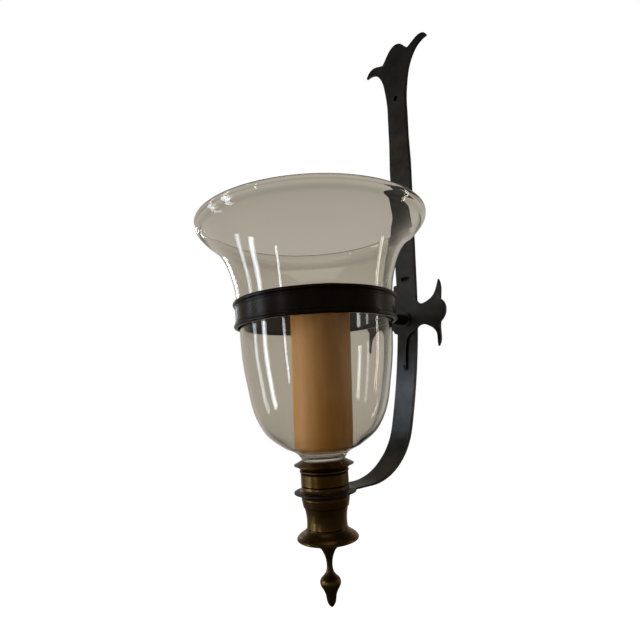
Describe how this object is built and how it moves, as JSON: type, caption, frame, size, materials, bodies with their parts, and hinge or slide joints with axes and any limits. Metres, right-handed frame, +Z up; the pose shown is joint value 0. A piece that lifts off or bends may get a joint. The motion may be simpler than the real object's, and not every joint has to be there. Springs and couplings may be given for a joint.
{
  "type": "torch sconce",
  "caption": "Wall-hung candle sconce: a forged strap with a three-lobed crown curls under a flared hurricane glass that stands in a turned cup and is held by a ring.",
  "frame": {"origin": "centre of the upper screw hole, on the wall plane at the strap's back face", "axes": "+Z up along the strap, -Y straight out of the wall into the room, +X to the right of someone who faces the wall"},
  "size_m": [0.1908, 0.2183, 0.5261],
  "materials": {
    "blackened_iron": "forged, blackened and waxed",
    "bronze_ring": "dark bronzed brass",
    "aged_brass": "aged brass, brown patina",
    "clear_glass": "clear blown glass",
    "wax": "tan wax, satin",
    "wick_cotton": "waxed cotton",
    "felt": "pale felt",
    "steel": "plain steel"
  },
  "bodies": {
    "bracket": {"back_strap": "blackened_iron", "cross_plate": "blackened_iron", "plate_rivet": "blackened_iron", "ring_post": "blackened_iron", "ring_band": "bronze_ring", "ring_bead_upper": "bronze_ring", "ring_bead_lower": "bronze_ring", "foot_pad": "felt", "glass_cup": "aged_brass", "upper_collar": "aged_brass", "lower_body": "aged_brass", "skirt_cap": "aged_brass", "finial": "aged_brass", "centre_rod": "steel", "rod_nut": "steel", "rod_washer": "steel"},
    "glass": {"glass_shade": "clear_glass"},
    "candle": {"candle": "wax", "candle_wick": "wick_cotton"}
  },
  "joints": [
    {"name": "glass_lift", "type": "slide", "parent": "bracket", "child": "glass", "axis": [0, 0, 1], "range_m": [0, 0.155]},
    {"name": "candle_lift", "type": "slide", "parent": "glass", "child": "candle", "axis": [0, 0, 1], "range_m": [0, 0.2]}
  ]
}
